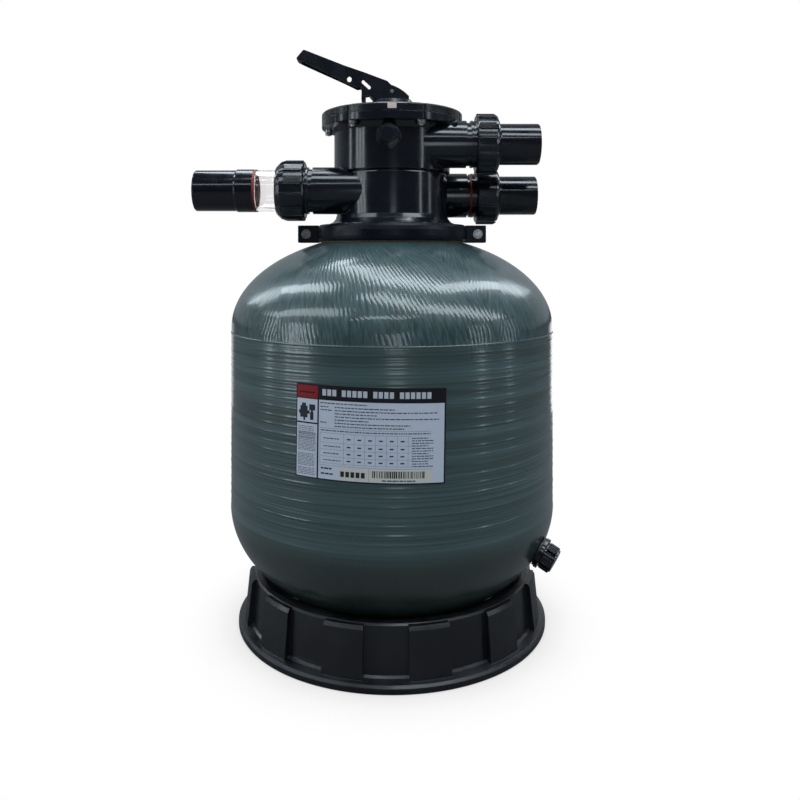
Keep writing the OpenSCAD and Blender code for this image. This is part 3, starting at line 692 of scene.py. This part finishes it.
FAR = 40
floor = new_object("floor", [(-FAR, -FAR, 0), (FAR, -FAR, 0), (FAR, FAR, 0), (-FAR, FAR, 0)],
                   [(0, 1, 2, 3)], [floor_material()])


COOL = (0.82, 0.93, 1.0)
WINDOW_AWAY = 2.8


def area_light(name, at, aim, size, radiance, colour=(1, 1, 1)):
    data = bpy.data.lights.new(name, "AREA")
    data.shape = "RECTANGLE"
    data.size, data.size_y = size
    data.energy = radiance * size[0] * size[1] * math.pi
    data.color = colour
    obj = bpy.data.objects.new(name, data)
    obj.location = at
    toward = Vector(aim) - Vector(at)
    obj.rotation_euler = toward.to_track_quat("-Z", "Y").to_euler()
    obj.visible_camera = False
    bpy.context.scene.collection.objects.link(obj)
    return obj


def tube(name, start, end, radiance, width=0.42, height=2.3):
    """A long ceiling light between two points of the floor plan, facing down."""
    run = Vector((end[0] - start[0], end[1] - start[1]))
    middle = ((start[0] + end[0]) / 2, (start[1] + end[1]) / 2, height)
    lamp = area_light(name, middle, (middle[0], middle[1], 0), (run.length, width), radiance, COOL)
    lamp.rotation_euler = (0, 0, math.atan2(run.y, run.x))


def window(name, azimuth, width, radiance, height=1.1, mid=0.6):
    """A tall window facing the tank; azimuth is in degrees to the viewer's right of the front."""
    a = math.radians(azimuth)
    at = (WINDOW_AWAY * math.sin(a), -WINDOW_AWAY * math.cos(a), mid)
    area_light(name, at, (0, 0, mid), (width, height), radiance, COOL)


tube("tube_main", (-0.15, -0.02), (0.9, -0.30), 8)
tube("tube_main_right", (0.9, -0.30), (3.6, 3.2), 6.5)
tube("tube_main_left", (-0.10, 0.0), (-0.7, 1.3), 6)
tube("tube_left", (-1.0, -0.2), (-5.0, 3.6), 6.5)
tube("tube_front", (-0.45, -0.8), (0.9, -1.75), 7)
tube("tube_front_right", (0.9, -1.75), (5.5, -0.9), 5.5, 0.8)
tube("tube_front_left", (-1.5, -2.1), (-6.0, 0.6), 4, 1.0)
tube("tube_far", (-1.3, -2.9), (0.8, -2.9), 5, 0.4)
window("window_centre", 3, 0.50, 2.2, height=0.7, mid=0.36)
for pane, azimuth in enumerate((-57, -64, -71)):
    window(f"window_left_{pane}", azimuth, 0.16, 6.0)
window("window_far_left", -88, 0.22, 4)
window("window_right", 60, 0.16, 4.5)
window("window_far_right", 83, 0.24, 2)
area_light("low_panel_left", (-0.5, 1.2, 0.15), (-0.1, 0, 0.15), (0.7, 0.28), 0.6)
area_light("low_panel_right", (0.5, 1.2, 0.15), (0.1, 0, 0.15), (0.7, 0.28), 1.4)


def studio_world():
    """White to the camera; to reflections a dim room that is brighter behind the tank."""
    world = bpy.data.worlds.new("studio")
    bpy.context.scene.world = world
    world.use_nodes = True
    tree = world.node_tree
    tree.nodes.clear()
    link, new = tree.links.new, tree.nodes.new
    path = new("ShaderNodeLightPath")
    seen = new("ShaderNodeMath")
    seen.operation = "MAXIMUM"
    link(path.outputs["Is Camera Ray"], seen.inputs[0])
    link(path.outputs["Is Transmission Ray"], seen.inputs[1])
    white = new("ShaderNodeBackground")
    white.inputs[0].default_value = (1, 1, 1, 1)
    room = new("ShaderNodeBackground")
    room.inputs[0].default_value = (0.86, 0.93, 1.0, 1)
    split = new("ShaderNodeSeparateXYZ")
    link(new("ShaderNodeTexCoord").outputs["Generated"], split.inputs[0])
    behind = new("ShaderNodeMapRange")
    link(split.outputs[1], behind.inputs[0])
    for index, value in enumerate((0.05, 0.7, 0.07, 0.30), 1):
        behind.inputs[index].default_value = value
    link(behind.outputs[0], room.inputs[1])
    pick = new("ShaderNodeMixShader")
    link(seen.outputs[0], pick.inputs[0])
    link(room.outputs[0], pick.inputs[1])
    link(white.outputs[0], pick.inputs[2])
    link(pick.outputs[0], new("ShaderNodeOutputWorld").inputs[0])


studio_world()
bpy.context.scene.view_settings.view_transform = "Standard"


# ---------------------------------------------------------------- camera

CAMERA_AT = (0.0, -0.974, 0.449)
CAMERA_NEAR = 0.002

cam_data = bpy.data.cameras.new("camera")
cam = bpy.data.objects.new("camera", cam_data)
cam.location = CAMERA_AT
cam.rotation_euler = (math.pi / 2, 0, 0)
cam_data.lens = 34.54
cam_data.sensor_width = 36.0
bpy.context.scene.collection.objects.link(cam)
bpy.context.scene.camera = cam


def shift_at_home(channel, amount):
    """Shifts the lens only while the camera stands at its own place."""
    driver = cam_data.driver_add(channel).driver
    driver.type = "SCRIPTED"
    for name, axis in (("px", "LOC_X"), ("py", "LOC_Y"), ("pz", "LOC_Z")):
        var = driver.variables.new()
        var.name = name
        var.type = "TRANSFORMS"
        var.targets[0].id = cam
        var.targets[0].transform_type = axis
        var.targets[0].transform_space = "WORLD_SPACE"
    home = " and ".join(f"abs({name} - ({place})) < {CAMERA_NEAR}"
                        for name, place in zip(("px", "py", "pz"), CAMERA_AT))
    driver.expression = f"{amount} if {home} else 0"


shift_at_home("shift_x", 0.010)
shift_at_home("shift_y", -0.18)
